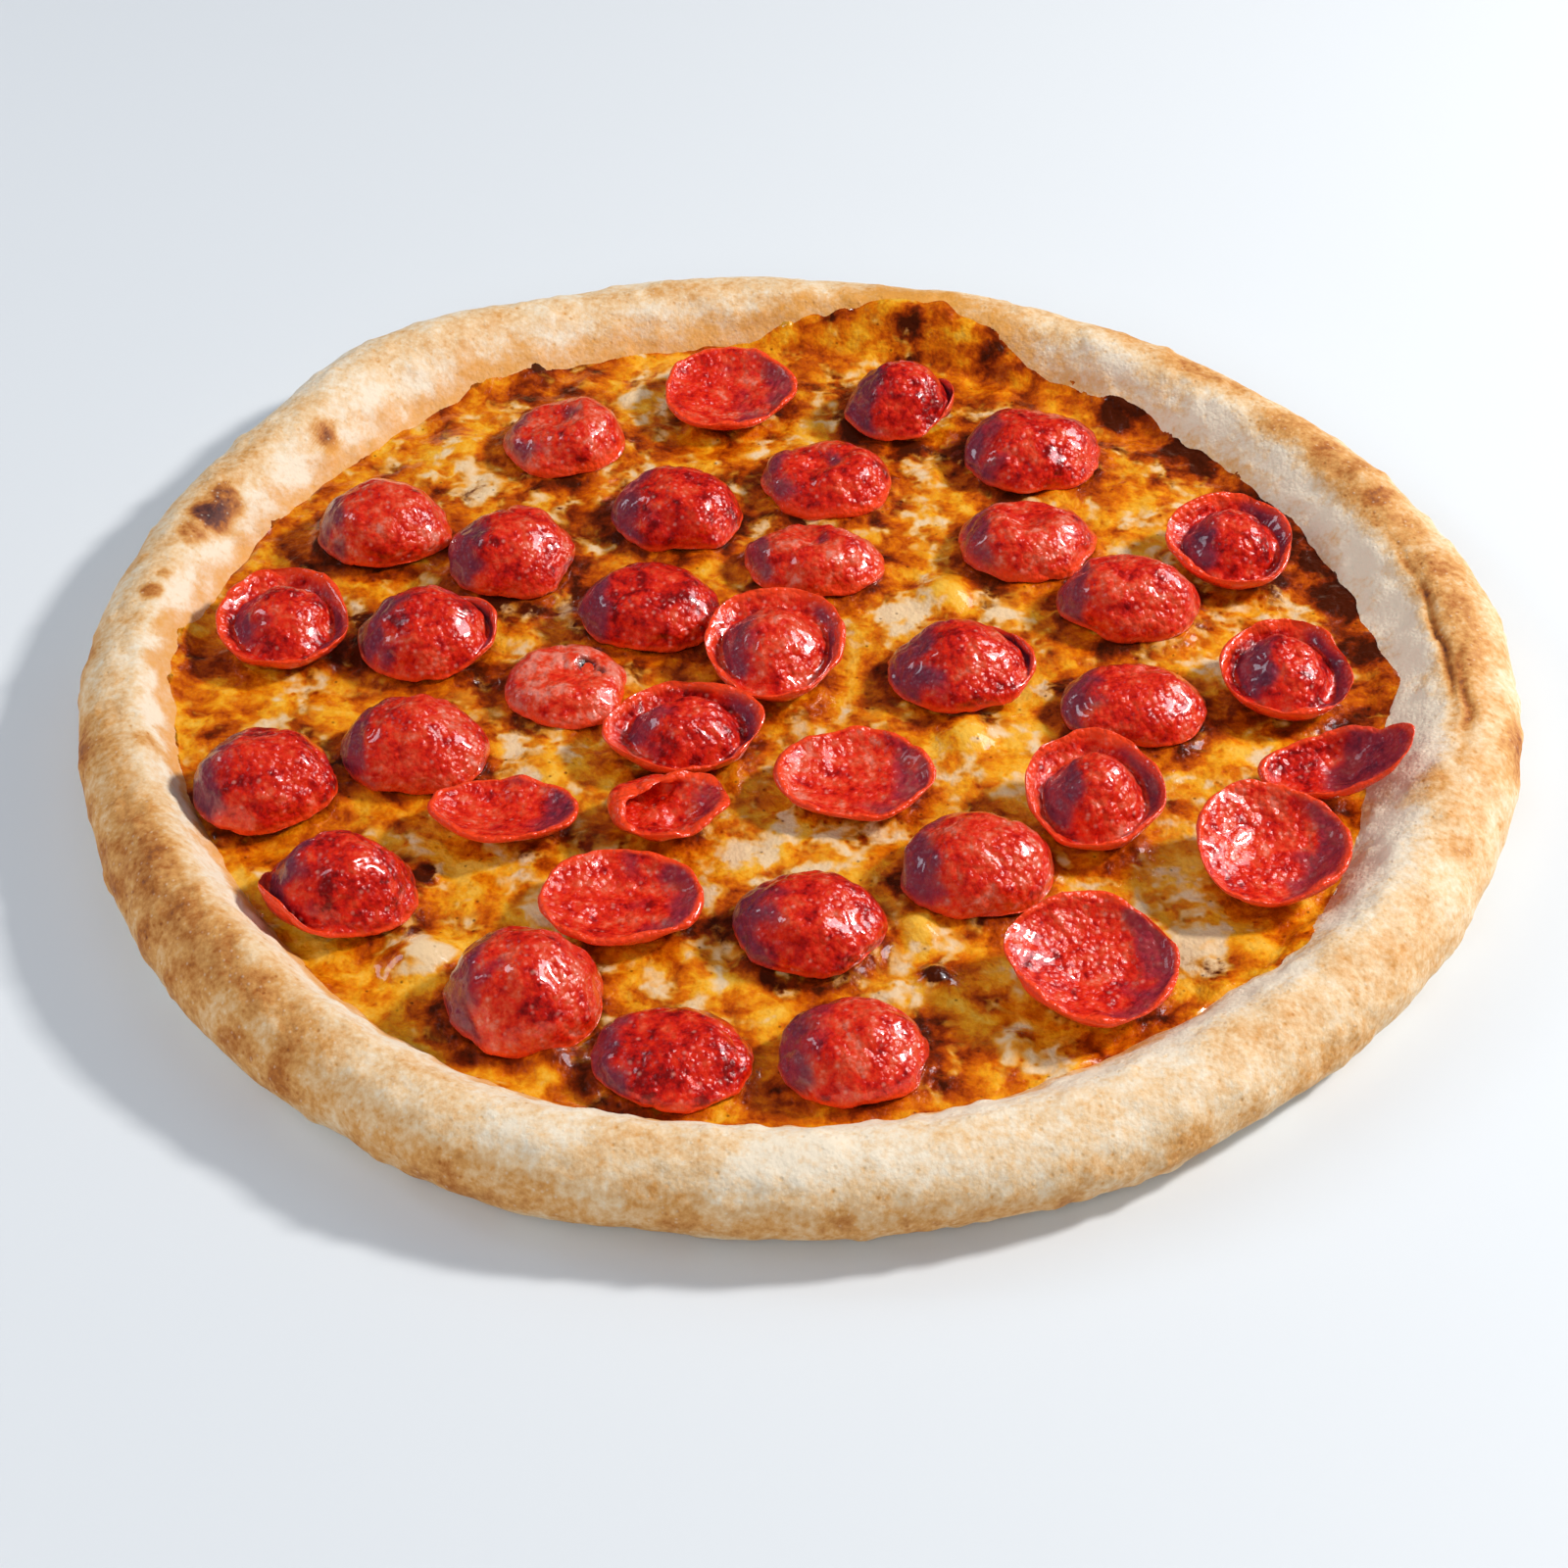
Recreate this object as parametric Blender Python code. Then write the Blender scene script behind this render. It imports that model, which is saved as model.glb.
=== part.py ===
"""A round pizza: a dough base with a puffed rim, a layer of baked cheese, and thin slices of pepperoni.

Lengths are in metres, with +Z up. The origin is the middle of the underside, and the front of the pizza
faces -Y. The dough, the cheese and every slice are solids of their own, a hair's breadth apart.
"""

import math
from dataclasses import dataclass

import bmesh
import bpy
from mathutils import Vector, noise
from mathutils.bvhtree import BVHTree
from mathutils.geometry import delaunay_2d_cdt

MM = 0.001

# The sizes that drive the rest
PIZZA_RADIUS = 155 * MM
RIM_WIDTH = 33 * MM
RIM_HEIGHT = 20 * MM
BASE_THICKNESS = 5.5 * MM
CHEESE_LEVEL = 10 * MM
SLICE_THICKNESS = 1.8 * MM
GAP = 0.3 * MM

# The rim in section: a bulging outer side as two quarter ellipses, then a wall that eases down to the base
OUTER_SIDE_WIDTH = 12.5 * MM
WIDEST_HEIGHT = 0.45 * RIM_HEIGHT
UNDERCUT_ANGLE = math.radians(72)
UNDER_STEPS = 3
OVER_STEPS = 4
WALL_STEPS = 6

# The rim in plan: how its width and height wander, and the swells and dents of the outline
SEGMENTS = 96
EXTRA_WIDTH_RIGHT = 4 * MM
EXTRA_WIDTH_BACK = 1.5 * MM
HEIGHT_WANDER = 1.6 * MM
HEIGHT_WANDER_TURNS = 2.4
RIM_LUMP = 0.9 * MM
LUMP_SPAN = 24 * MM
SMALL_LUMP_SHARE = 0.4  # of the height of the large lumps
SMALL_SPAN_SHARE = 0.45  # of their span
SWELLS = (  # degrees round from +X, millimetres outwards, degrees to each side
    (131, 4.6, 6),
    (117, 2.2, 12),
    (66, -3.0, 24),
    (10, 3.2, 16),
    (-27, -1.3, 10),
    (-50, -1.7, 6),
    (248, 3.0, 8),
    (198, -2.1, 13),
)
INNER_BULGES = ((-15, 5, 6), (-62, 3, 10), (141, 3, 7), (212, 3, 9))  # the same, of the wall's foot inwards
CREST_RISES = ((131, 2.0, 8), (-15, 1.5, 8), (60, 1.5, 18), (222, 1.5, 14), (180, -1.5, 15))  # upwards

# The cheese: how high its edge climbs the rim, and what stands up from it
EDGE_CLIMB = 1.3 * MM
EDGE_WANDER = 0.8 * MM
EDGE_WANDER_TURNS = 5
HIGHEST_CLIMB = 0.9  # of the way up the wall
EDGE_THICKNESS = 0.6 * MM
SKIN_THICKNESS = 1.5 * MM
RIPPLE = 0.7 * MM
RIPPLE_SPAN = 30 * MM
NET_SPACING = 9 * MM
MERGE_DISTANCE = 0.05 * MM
OVERFLOWS = (  # degrees round, millimetres up the wall, degrees to each side
    (73, 5.6, 9),
    (52, 4.2, 5),
    (34, 1.4, 9),
    (0, 3.0, 3),
    (-38, 3.2, 4),
    (188, 2.2, 4),
    (227, 1.6, 8),
)
BUBBLES = (  # across, back, radius and height, in millimetres
    (34, 34, 7, 3.0),
    (37, -18, 6, 2.4),
    (-74, -88, 8, 3.4),
    (28, -93, 4, 2.0),
    (-80, 84, 9, 2.0),
    (-46, -77, 7, 2.0),
    (88, -88, 8, 2.6),
    (64, -114, 8, 2.4),
)


@dataclass(frozen=True)
class Form:
    """How a slice has curled: rings out from its middle, each with its height as a share of the whole."""

    name: str
    middle: float
    rings: tuple


def dome_rings(angles):
    """Rings down the side of a half ellipsoid."""
    return tuple((math.sin(math.radians(a)), math.cos(math.radians(a))) for a in angles)


DOME = Form("dome", 1.0, dome_rings((36, 66, 90)))
CUP = Form("cup", 0.0, ((0.48, 0.08), (0.82, 0.45), (1.0, 1.0)))
HAT = Form("hat", 1.0, ((0.3, 0.88), (0.54, 0.4), (0.74, 0.0), (1.0, 0.62)))
CRATER = Form("crater", 0.5, ((0.36, 0.93), (0.76, 0.8), (1.0, 0.0)))
BRIMMED = Form("brimmed", 1.0, ((0.36, 0.93), (0.68, 0.66), (0.86, 0.3), (1.0, 0.0)))
FLAT = Form("flat", 0.75, ((0.45, 1.0), (0.82, 0.8), (1.0, 0.0)))
FOLDED = Form("folded", 0.1, ((0.34, 0.12), (0.68, 0.4), (1.0, 0.85)))
FLAP = ((0.5, 0.1), (0.95, 0.5), (0.25, 1.0))  # where those rings go in the middle of the fold


@dataclass(frozen=True)
class Slice:
    """A slice of pepperoni: where it lies, its breadth, depth and height in millimetres, and how it leans.

    turn is the way round that its outline and its brim are turned, in degrees, and lean is how much its far
    edge is raised towards lean_way.
    """

    form: Form
    across: float
    back: float
    wide: float
    deep: float
    tall: float
    turn: float = 0
    lean: float = 0
    lean_way: float = 90


SLICES = (  # from the back of the pizza to the front
    Slice(CUP, -16, 103.5, 33, 35, 4.0, 20, 1.0),
    Slice(BRIMMED, 26, 100, 30, 28, 12.0, 10),
    Slice(CRATER, -54.5, 85.5, 31, 28, 8.0, 200),
    Slice(DOME, 55.5, 81.5, 34.5, 30, 10.0, 30),
    Slice(CRATER, 7, 70.5, 34, 28, 6.5, 150),
    Slice(DOME, -93, 49.5, 31.5, 29, 12.0, 340),
    Slice(DOME, -26.5, 57, 31, 28, 10.0, 320),
    Slice(DOME, -63.5, 39.5, 31, 28, 11.5, 75),
    Slice(CRATER, 53, 48, 35, 30, 7.0, 60),
    Slice(HAT, 98.5, 43, 31.5, 30.5, 8.0, 100, 3.5),
    Slice(CRATER, 4, 40, 34, 26, 7.0, 110),
    Slice(HAT, -111.5, 12.5, 31.5, 32.5, 7.5, 120, 3.0),
    Slice(BRIMMED, -79.5, 10.5, 34.5, 30, 11.0, 25),
    Slice(HAT, -4, 4.5, 33, 36, 8.0, 45, 4.0),
    Slice(DOME, -31.5, 21, 33.5, 29, 10.0, 350),
    Slice(DOME, 74.5, 25.5, 32.5, 27, 11.0, 340),
    Slice(BRIMMED, 37, 1, 35.5, 31, 10.0, 30),
    Slice(HAT, 106, -2.5, 31, 31, 8.0, 80, 3.5),
    Slice(FLAT, -49, -4.5, 29, 29, 4.0, 170),
    Slice(HAT, -22.5, -22.5, 36, 28.5, 8.0, 60, 2.0),
    Slice(DOME, 73, -10, 33, 28, 7.5, 350),
    Slice(DOME, -79.5, -26.5, 32.5, 29, 11.5, 345),
    Slice(CUP, 112.5, -35, 32, 20, 5.0, 200, 5.0, 20),
    Slice(CUP, 13, -36, 34.5, 30, 4.0, 10, 1.0),
    Slice(DOME, -109.5, -39.5, 31, 29, 12.5, 30),
    Slice(CUP, -59, -48.5, 32, 24, 4.0, 350, 2.5, 250),
    Slice(HAT, 62, -44, 30, 34, 9.5, 15, 5.0),
    Slice(FOLDED, -27, -46.5, 30, 26, 8.0, 140),
    Slice(CUP, 96.5, -61, 34.5, 32.5, 5.5, 250, 6.0, 110),
    Slice(CUP, -34, -74, 34.5, 29, 4.0, 5, 1.0),
    Slice(BRIMMED, -91, -72, 35, 31, 14.0, 215),
    Slice(DOME, 37.5, -62, 33.5, 30, 11.0, 0),
    Slice(DOME, 3.5, -79, 32.5, 29, 10.0, 160),
    Slice(CUP, 58.5, -94, 37, 33, 5.5, 290, 6.0, 120),
    Slice(DOME, -51.5, -100, 33.5, 30, 15.0, 90),
    Slice(DOME, -22.5, -115.5, 32.5, 28, 7.0, 150),
    Slice(DOME, 12, -114, 31, 28, 10.0, 45),
)
SLICE_SPOKES = 14
OUTLINE_WANDER = 0.05
CRATER_LEAN = 0.22
SLICE_LUMP = 0.5 * MM
SLICE_LUMP_SPAN = 7 * MM
SAME_POINT = 0.001  # on a disc of unit radius
SETTLE_STEP = 0.1 * MM

# Colours
DOUGH_COLOUR = (0.80, 0.60, 0.35)
CHEESE_COLOUR = (0.85, 0.47, 0.10)
PEPPERONI_COLOUR = (0.58, 0.04, 0.03)


def clear_scene():
    """Removes what the file opened with."""
    for thing in list(bpy.data.objects):
        bpy.data.objects.remove(thing)


def make_material(name, colour, roughness):
    """A plain finish of one colour."""
    material = bpy.data.materials.new(name)
    material.use_nodes = True
    shader = material.node_tree.nodes["Principled BSDF"]
    shader.inputs["Base Color"].default_value = (*colour, 1)
    shader.inputs["Roughness"].default_value = roughness
    shader.inputs["Metallic"].default_value = 0
    return material


def make_object(name, bm, material):
    """A smooth-shaded object from a bmesh, which it frees."""
    bmesh.ops.recalc_face_normals(bm, faces=bm.faces)
    mesh = bpy.data.meshes.new(name)
    bm.to_mesh(mesh)
    bm.free()
    mesh.shade_smooth()
    mesh.materials.append(material)
    thing = bpy.data.objects.new(name, mesh)
    bpy.context.scene.collection.objects.link(thing)
    return thing


def bell(angle, places):
    """The sum, at an angle in radians, of bell curves placed round the pizza, in metres."""
    total = 0
    for degrees, height, spread in places:
        away = (math.degrees(angle) - degrees + 180) % 360 - 180
        total += height * MM * math.exp(-0.5 * (away / spread) ** 2)
    return total


def wander(angle, turns, seed):
    """A slow wave round the rim, from -1 to 1."""
    return noise.noise(Vector((turns * math.cos(angle), turns * math.sin(angle), seed)))


def rim_radius(angle):
    """How far the outline is from the middle."""
    return PIZZA_RADIUS + bell(angle, SWELLS)


def rim_width(angle):
    """How wide the rim is, from its outside to the foot of its wall."""
    spread = EXTRA_WIDTH_RIGHT * math.cos(angle) + EXTRA_WIDTH_BACK * math.sin(angle)
    return RIM_WIDTH + spread + bell(angle, INNER_BULGES) + bell(angle, SWELLS)


def rim_height(angle):
    """How high the rim's crest is."""
    return RIM_HEIGHT + HEIGHT_WANDER * wander(angle, HEIGHT_WANDER_TURNS, 7.5) + bell(angle, CREST_RISES)


def wall_point(angle, down):
    """Radius and height on the rim's inner wall, from its crest (0) to its foot (1)."""
    outer = rim_radius(angle)
    width = rim_width(angle)
    fall = 0.5 + 0.5 * math.cos(math.pi * down)
    radius = outer - OUTER_SIDE_WIDTH - (width - OUTER_SIDE_WIDTH) * down
    return radius, BASE_THICKNESS + (rim_height(angle) - BASE_THICKNESS) * fall


def outer_point(angle, slant):
    """Radius and height on the rim's outer side, by the slant from its widest line to its crest."""
    reach = WIDEST_HEIGHT if slant < 0 else rim_height(angle) - WIDEST_HEIGHT
    radius = rim_radius(angle) - OUTER_SIDE_WIDTH * (1 - math.cos(slant))
    return radius, WIDEST_HEIGHT + reach * math.sin(slant)


def rim_stations():
    """The stations of the rim's section, each a function of the angle, from underside to wall's foot."""
    stations = [lambda angle: (rim_radius(angle) - OUTER_SIDE_WIDTH, 0)]
    for step in range(UNDER_STEPS):
        slant = -UNDERCUT_ANGLE * (1 - step / UNDER_STEPS)
        stations.append(lambda angle, slant=slant: outer_point(angle, slant))
    for step in range(OVER_STEPS):
        slant = math.pi / 2 * step / OVER_STEPS
        stations.append(lambda angle, slant=slant: outer_point(angle, slant))
    for step in range(WALL_STEPS + 1):
        stations.append(lambda angle, down=step / WALL_STEPS: wall_point(angle, down))
    return stations


def ring_of(bm, point):
    """A closed ring of vertices, one for each segment, with a function that gives radius and height."""
    ring = []
    for k in range(SEGMENTS):
        angle = 2 * math.pi * k / SEGMENTS
        radius, height = point(angle)
        ring.append(bm.verts.new((radius * math.cos(angle), radius * math.sin(angle), height)))
    for a, b in zip(ring, ring[1:] + ring[:1]):
        bm.edges.new((a, b))
    return ring


def ring_edges(ring):
    """The edges that run round a ring."""
    members = set(ring)
    return [e for v in ring for e in v.link_edges if e.other_vert(v) in members and e.verts[0] == v]


def join_spoke_by_spoke(bm, lower, upper):
    """Faces between two rings that may lie on each other in places, where bridging them could twist."""
    for k in range(SEGMENTS):
        after = (k + 1) % SEGMENTS
        bm.faces.new((lower[k], lower[after], upper[after], upper[k]))


def rim_relief(place):
    """How far the dough swells or sinks along its normal, so that the rim looks stretched by hand."""
    coarse = noise.noise(place / LUMP_SPAN)
    fine = noise.noise(place / (SMALL_SPAN_SHARE * LUMP_SPAN) + Vector((3, 5, 9)))
    return RIM_LUMP * (coarse + SMALL_LUMP_SHARE * fine)


def make_dough(material):
    """The base and its puffed rim: rings bridged from the underside over the crest and down to the base."""
    bm = bmesh.new()
    rings = [ring_of(bm, station) for station in rim_stations()]
    for lower, upper in zip(rings, rings[1:]):
        bmesh.ops.bridge_loops(bm, edges=ring_edges(lower) + ring_edges(upper))
    for ring in (rings[0], rings[-1]):
        bmesh.ops.contextual_create(bm, geom=ring_edges(ring))
    bmesh.ops.recalc_face_normals(bm, faces=bm.faces)
    bm.normal_update()
    free = [v for ring in rings[2:-WALL_STEPS] for v in ring]
    moves = [(v, v.normal * rim_relief(v.co)) for v in free]
    for vertex, move in moves:
        vertex.co += move
    bmesh.ops.triangulate(bm, faces=[f for f in bm.faces if len(f.verts) > 4])
    return make_object("dough", bm, material)


def pool_height(x, y):
    """The height of the cheese away from the rim: slow ripples, with the bubbles standing on them."""
    place = Vector((x, y, 0))
    height = CHEESE_LEVEL + RIPPLE * noise.noise(place / RIPPLE_SPAN + Vector((11, 4, 2)))
    for across, back, radius, tall in BUBBLES:
        away = math.hypot(x - across * MM, y - back * MM) / (radius * MM)
        height += tall * MM * math.exp(-2 * away**2)
    return height


def edge_station(angle):
    """How far down the wall the cheese's edge lies, between crest (0) and foot (1)."""
    climb = CHEESE_LEVEL + EDGE_CLIMB + bell(angle, OVERFLOWS)
    climb += EDGE_WANDER * wander(angle, EDGE_WANDER_TURNS, 21.5)
    fall = (climb - BASE_THICKNESS) / (rim_height(angle) - BASE_THICKNESS)
    return math.acos(2 * min(fall, HIGHEST_CLIMB) - 1) / math.pi


def wall_chord(angle, down):
    """A point on the wall's straight facet between two of its stations, moved off it by the gap."""
    step = min(math.floor(down * WALL_STEPS), WALL_STEPS - 1)
    share = down * WALL_STEPS - step
    upper = wall_point(angle, step / WALL_STEPS)
    lower = wall_point(angle, (step + 1) / WALL_STEPS)
    radius = upper[0] + (lower[0] - upper[0]) * share
    height = upper[1] + (lower[1] - upper[1]) * share
    return radius - GAP, height + GAP


def cheese_under(angle, down):
    """Radius and height of the cheese's underside on the wall, no higher than its edge."""
    return wall_chord(angle, max(down, edge_station(angle)))


def cheese_over(angle, down):
    """Radius and height of the cheese's top above the wall: the pool, or a skin that thins to its edge."""
    edge = edge_station(angle)
    radius, height = wall_chord(angle, max(down, edge))
    share = min(1, max(0, (down - edge) / (1 / WALL_STEPS)))
    skin = EDGE_THICKNESS + (SKIN_THICKNESS - EDGE_THICKNESS) * share
    pool = pool_height(radius * math.cos(angle), radius * math.sin(angle))
    return radius, max(height + skin, pool if down > edge else 0)


def net_points(foot):
    """Evenly spaced points inside the cheese's foot ring, in rows that are offset by half a space."""
    inside = min(v.co.xy.length for v in foot) - NET_SPACING / 2
    row_height = NET_SPACING * math.sqrt(3) / 2
    rows = math.ceil(PIZZA_RADIUS / row_height)
    points = []
    for row in range(-rows, rows + 1):
        offset = 0.5 * NET_SPACING * (row % 2)
        for column in range(-rows, rows + 1):
            point = Vector((column * NET_SPACING + offset, row * row_height))
            if point.length < inside:
                points.append(point)
    return points


def fill_pool(bm, foot):
    """The cheese's top inside its foot ring, as a net of even triangles at the pool's height."""
    outline = [v.co.xy for v in foot]
    count = len(outline)
    loop = [(k, (k + 1) % count) for k in range(count)]
    points, _, faces, origin, _, _ = delaunay_2d_cdt(outline + net_points(foot), loop, [], 1, 1e-6)
    known = {}
    for index, point in enumerate(points):
        rim = [o for o in origin[index] if o < count]
        known[index] = foot[rim[0]] if rim else bm.verts.new((*point, pool_height(*point)))
    for face in faces:
        bm.faces.new([known[index] for index in face])


def make_cheese(material):
    """The baked cheese: a flat underside on the base, rings that follow the wall, and a rippled top."""
    bm = bmesh.new()
    downs = [1 - step / WALL_STEPS for step in range(WALL_STEPS)]
    under = [ring_of(bm, lambda angle, down=down: cheese_under(angle, down)) for down in downs]
    over = [ring_of(bm, lambda angle, down=down: cheese_over(angle, down)) for down in downs]
    strip = under + over[::-1]
    for lower, upper in zip(strip, strip[1:]):
        join_spoke_by_spoke(bm, lower, upper)
    bmesh.ops.contextual_create(bm, geom=ring_edges(under[0]))
    fill_pool(bm, over[0])
    bmesh.ops.remove_doubles(bm, verts=bm.verts, dist=MERGE_DISTANCE)
    bmesh.ops.triangulate(bm, faces=bm.faces)
    return make_object("cheese", bm, material)


class Bed:
    """What the slices lie on: the tops of the solids made so far."""

    def __init__(self, *things):
        self.trees = []
        for thing in things:
            bm = bmesh.new()
            bm.from_mesh(thing.data)
            self.trees.append(BVHTree.FromBMesh(bm))
            bm.free()

    def height(self, x, y):
        """The highest surface under a point."""
        start = Vector((x, y, 1))
        hits = [tree.ray_cast(start, Vector((0, 0, -1)))[0] for tree in self.trees]
        return max(hit.z for hit in hits if hit)

    def touches(self, bm):
        """Whether a mesh would cut through what lies below it if it were lower by nearly the gap."""
        bm.verts.index_update()
        points = [v.co - Vector((0, 0, 0.9 * GAP)) for v in bm.verts]
        tree = BVHTree.FromPolygons(points, [[v.index for v in f.verts] for f in bm.faces])
        return any(tree.overlap(other) for other in self.trees)


def outline_share(piece, angle):
    """How far out the slice's edge is at an angle, against a true ellipse, as two waves round it."""
    turned = angle - math.radians(piece.turn)
    waves = 0.6 * math.cos(2 * turned) + 0.4 * math.cos(3 * turned + 1)
    return 1 + OUTLINE_WANDER * (waves - 0.5)


def form_place(piece, ring, angle):
    """How far out and how high a ring of the slice is at an angle, as shares of its reach and its height."""
    reach, height = piece.form.rings[ring]
    turned = angle - math.radians(piece.turn)
    if piece.form is BRIMMED:
        lifted = HAT.rings[ring][1]
        share = math.exp(-(((turned + math.pi) % (2 * math.pi) - math.pi) ** 2))
        height += (lifted - height) * share
    if piece.form is FOLDED:
        share = max(0, math.cos(turned))
        reach += (FLAP[ring][0] - reach) * share
        height += (FLAP[ring][1] - height) * share
    if piece.form is CRATER:
        height *= 1 - CRATER_LEAN * math.cos(turned)
    return reach, max(height, 0)


def slice_disc(shares):
    """A flat disc of unit radius, as rings at these shares of it, spun from a line of edges."""
    bm = bmesh.new()
    spine = [bm.verts.new((share, 0, 0)) for share in shares]
    for inner, outer in zip(spine, spine[1:]):
        bm.edges.new((inner, outer))
    line = spine + list(bm.edges)
    turn = {"axis": (0, 0, 1), "cent": (0, 0, 0), "angle": 2 * math.pi}
    bmesh.ops.spin(bm, geom=line, steps=SLICE_SPOKES, use_merge=True, **turn)
    bmesh.ops.remove_doubles(bm, verts=bm.verts, dist=SAME_POINT)
    return bm


def slice_point(piece, bed, ring, angle):
    """Where a point of the slice's underside lies, once it has curled and lies on its bed."""
    edge_down = math.isclose(piece.form.rings[-1][1], 0, abs_tol=1e-9)
    trim = 2 * SLICE_THICKNESS / MM if edge_down else 0  # its thickness then adds to its breadth
    share, curl = form_place(piece, ring - 1, angle) if ring else (0, piece.form.middle)
    reach = 0.5 * share * outline_share(piece, angle)
    x = (piece.across + (piece.wide - trim) * reach * math.cos(angle)) * MM
    y = (piece.back + (piece.deep - trim) * reach * math.sin(angle)) * MM
    lean = 0.5 * piece.lean * (1 + share * math.cos(angle - math.radians(piece.lean_way)))
    lump = SLICE_LUMP * (1 + noise.noise(Vector((x, y, 0)) / SLICE_LUMP_SPAN)) if curl > 0 else 0
    return x, y, bed.height(x, y) + GAP + (curl * piece.tall + lean) * MM + lump


def thicken(bm):
    """Closes a sheet into a solid, with its top moved off along its normals."""
    bmesh.ops.recalc_face_normals(bm, faces=bm.faces)
    bm.normal_update()
    if sum(face.normal.z for face in bm.faces) < 0:
        bmesh.ops.reverse_faces(bm, faces=bm.faces)
        bm.normal_update()
    made = bmesh.ops.extrude_face_region(bm, geom=bm.faces)["geom"]
    for vertex in [item for item in made if isinstance(item, bmesh.types.BMVert)]:
        vertex.co += vertex.normal * SLICE_THICKNESS


def make_slice(name, piece, bed, material):
    """A slice of pepperoni: a disc of rings, curled to its form, given its thickness and set on its bed."""
    shares = [0] + [share for share, _ in piece.form.rings]
    bm = slice_disc(shares)
    for vertex in bm.verts:
        reach = vertex.co.xy.length
        ring = min(range(len(shares)), key=lambda index: abs(shares[index] - reach))
        angle = math.atan2(vertex.co.y, vertex.co.x)
        vertex.co = slice_point(piece, bed, ring, angle)
    thicken(bm)
    while bed.touches(bm):
        bmesh.ops.translate(bm, verts=bm.verts, vec=(0, 0, SETTLE_STEP))
    return make_object(name, bm, material)


def main():
    """Builds the pizza from the base up."""
    clear_scene()
    dough = make_dough(make_material("dough", DOUGH_COLOUR, 0.8))
    cheese = make_cheese(make_material("cheese", CHEESE_COLOUR, 0.35))
    pepperoni = make_material("pepperoni", PEPPERONI_COLOUR, 0.3)
    bed = Bed(dough, cheese)
    for number, piece in enumerate(SLICES, 1):
        make_slice(f"pepperoni_{piece.form.name}_{number:02d}", piece, bed, pepperoni)


main()
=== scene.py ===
"""Dresses a round pepperoni pizza: its hand-stretched crust, its baked cheese and its curled slices.

Lengths are in metres, or in millimetres where a note says so. +Z is up and the front of the pizza faces -Y.
"""

import logging
import math
from dataclasses import dataclass
from enum import Enum
from typing import Sequence

import bmesh
import bpy
import numpy as np
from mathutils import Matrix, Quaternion, Vector, noise
from mathutils.bvhtree import BVHTree
from mathutils.kdtree import KDTree


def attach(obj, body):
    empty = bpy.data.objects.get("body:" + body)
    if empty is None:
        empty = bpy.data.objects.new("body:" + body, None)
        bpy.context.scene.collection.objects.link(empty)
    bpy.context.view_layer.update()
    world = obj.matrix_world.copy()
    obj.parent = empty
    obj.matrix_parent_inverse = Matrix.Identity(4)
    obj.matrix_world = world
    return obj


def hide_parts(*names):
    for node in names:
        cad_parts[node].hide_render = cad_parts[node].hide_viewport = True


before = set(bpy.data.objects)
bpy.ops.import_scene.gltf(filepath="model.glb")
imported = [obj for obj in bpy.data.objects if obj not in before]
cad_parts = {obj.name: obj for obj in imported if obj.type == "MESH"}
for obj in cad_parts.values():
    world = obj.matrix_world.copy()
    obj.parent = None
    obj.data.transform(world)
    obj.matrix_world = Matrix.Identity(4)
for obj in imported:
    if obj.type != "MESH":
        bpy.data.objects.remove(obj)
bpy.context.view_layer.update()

logging.basicConfig(level=logging.INFO, format="%(message)s")
log = logging.getLogger("pizza")

MM = 0.001
MERGE_DISTANCE = 0.01 * MM
BASE_TOP = 5.5 * MM

Colour = tuple[float, float, float]


# Numbers over many points


def smooth(low: float, high: float, values: np.ndarray) -> np.ndarray:
    """Rises smoothly from 0 at low to 1 at high.

    Args:
        low: The value at which it starts.
        high: The value at which it ends.
        values: What is compared with them.

    Returns:
        The shares, from 0 to 1.
    """
    share = np.clip((values - low) / (high - low), 0, 1)
    return share * share * (3 - 2 * share)


def wander(points: np.ndarray, span: float, shift: Sequence[float] = (0, 0, 0)) -> np.ndarray:
    """Smooth noise from about -1 to 1.

    Args:
        points: One row for each point, in metres.
        span: The size of its lumps, in metres.
        shift: Moves the pattern, so that two uses differ.

    Returns:
        A number for each point.
    """
    offset = Vector(shift)
    return np.array([noise.noise(Vector(point) + offset) for point in points / span])


def cell_distance(points: np.ndarray, span: float, shift: Sequence[float] = (0, 0, 0)) -> np.ndarray:
    """How far each point is from the nearest of a scatter of points.

    Args:
        points: One row for each point, in metres.
        span: How far apart the scattered points are, in metres.
        shift: Moves the pattern, so that two uses differ.

    Returns:
        The distances, as shares of the span.
    """
    offset = Vector(shift)
    return np.array([noise.voronoi(Vector(point) + offset)[0][0] for point in points / span])


@dataclass(frozen=True)
class Patch:
    """A place on the pizza that is baked more or less than the rest: its middle and radius in millimetres."""

    across: float
    back: float
    radius: float
    amount: float


def patch_field(points: np.ndarray, patches: Sequence[Patch], ragged: np.ndarray) -> np.ndarray:
    """Adds up placed patches with ragged edges.

    Args:
        points: One row for each point, in metres.
        patches: What is placed.
        ragged: Noise for each point that moves the patches' edges in and out.

    Returns:
        The sum at each point.
    """
    total = np.zeros(len(points))
    for patch in patches:
        away = np.hypot(points[:, 0] / MM - patch.across, points[:, 1] / MM - patch.back) / patch.radius
        total += patch.amount * smooth(1.25, 0.55, away + 0.45 * ragged)
    return total


# Meshes


def merged_copy(node: str) -> bmesh.types.BMesh:
    """A copy of a CAD node's mesh, with its doubled vertices merged and its normals turned outward.

    Args:
        node: The node's name.

    Returns:
        The copy.
    """
    bm = bmesh.new()
    bm.from_mesh(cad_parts[node].data)
    bmesh.ops.remove_doubles(bm, verts=bm.verts, dist=MERGE_DISTANCE)
    bmesh.ops.recalc_face_normals(bm, faces=bm.faces)
    return bm


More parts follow.
